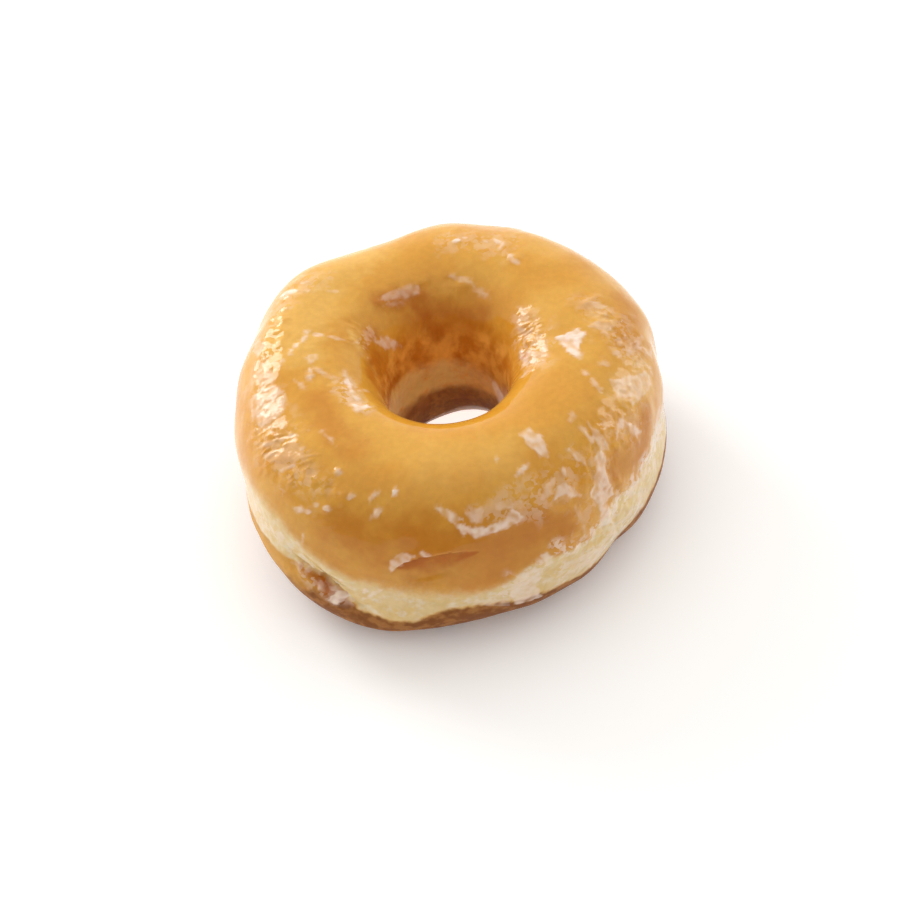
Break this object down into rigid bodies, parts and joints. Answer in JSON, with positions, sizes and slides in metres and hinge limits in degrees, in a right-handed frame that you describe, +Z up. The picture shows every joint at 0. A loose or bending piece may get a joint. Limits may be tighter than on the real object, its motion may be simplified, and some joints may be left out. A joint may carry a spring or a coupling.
{
  "type": "ring doughnut",
  "caption": "Glazed raised ring doughnut with a hand-shaped, uneven outline, browned crusts and a pale proof line, lying flat on its underside.",
  "frame": {"origin": "under the middle of the doughnut's box, on the surface that it lies on", "axes": "+Z up along the ring's axis, -Y towards the side that shows the crease and the fold"},
  "size_m": [0.0904, 0.092, 0.0418],
  "materials": {
    "glazed_crust": "golden brown fried dough under a thin, clear, glossy sugar glaze, with whitish streaks where the glaze has set thick"
  },
  "bodies": {
    "root": {"doughnut": "glazed_crust"}
  },
  "joints": []
}
